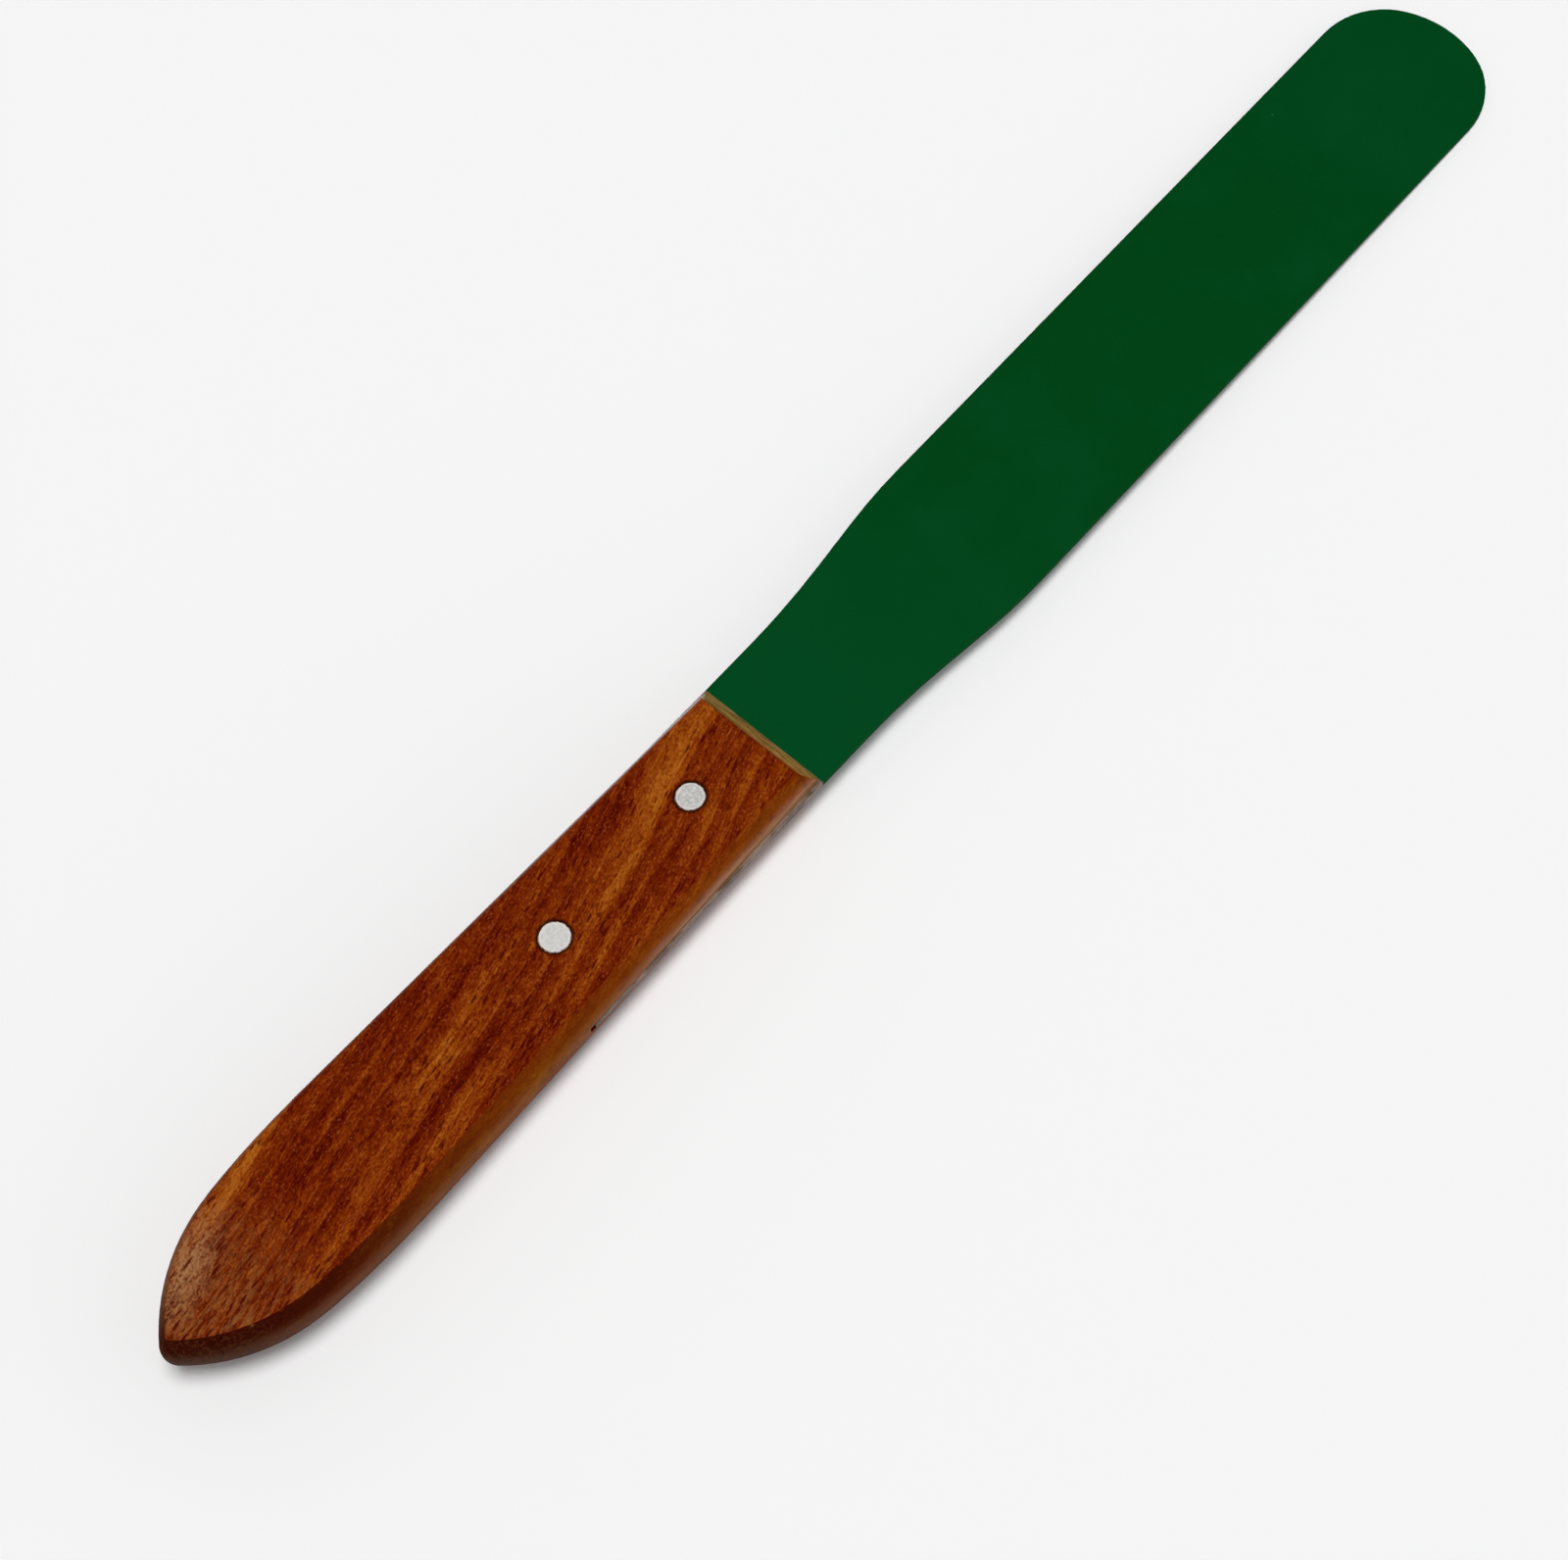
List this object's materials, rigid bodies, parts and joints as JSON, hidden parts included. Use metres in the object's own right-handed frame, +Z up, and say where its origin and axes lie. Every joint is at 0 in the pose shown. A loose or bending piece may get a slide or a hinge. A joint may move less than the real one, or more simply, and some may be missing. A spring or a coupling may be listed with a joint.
{
  "type": "laboratory spatula",
  "caption": "Laboratory spatula: a flat coated steel blade with a round end, let into a saw slot in a barrel-sided wooden handle and held by flush rivets.",
  "frame": {"origin": "middle of the whole length and width, on the plane of the handle's lower flat face", "axes": "+X along the spatula from the handle to the blade's tip, +Y across the blade, +Z up, square to the blade's flat"},
  "size_m": [0.225, 0.0226, 0.008],
  "materials": {
    "coated_steel": "satin dark green non-stick coating on thin steel sheet, bare grey on the edges of the tang",
    "varnished_wood": "varnished red-brown hardwood with dark pores; raw on the front bevel",
    "rivet_metal": "ground flush, matt and finely mottled"
  },
  "bodies": {
    "root": {"blade": "coated_steel", "handle": "varnished_wood", "front_rivet": "rivet_metal", "rear_rivet": "rivet_metal"}
  },
  "joints": []
}
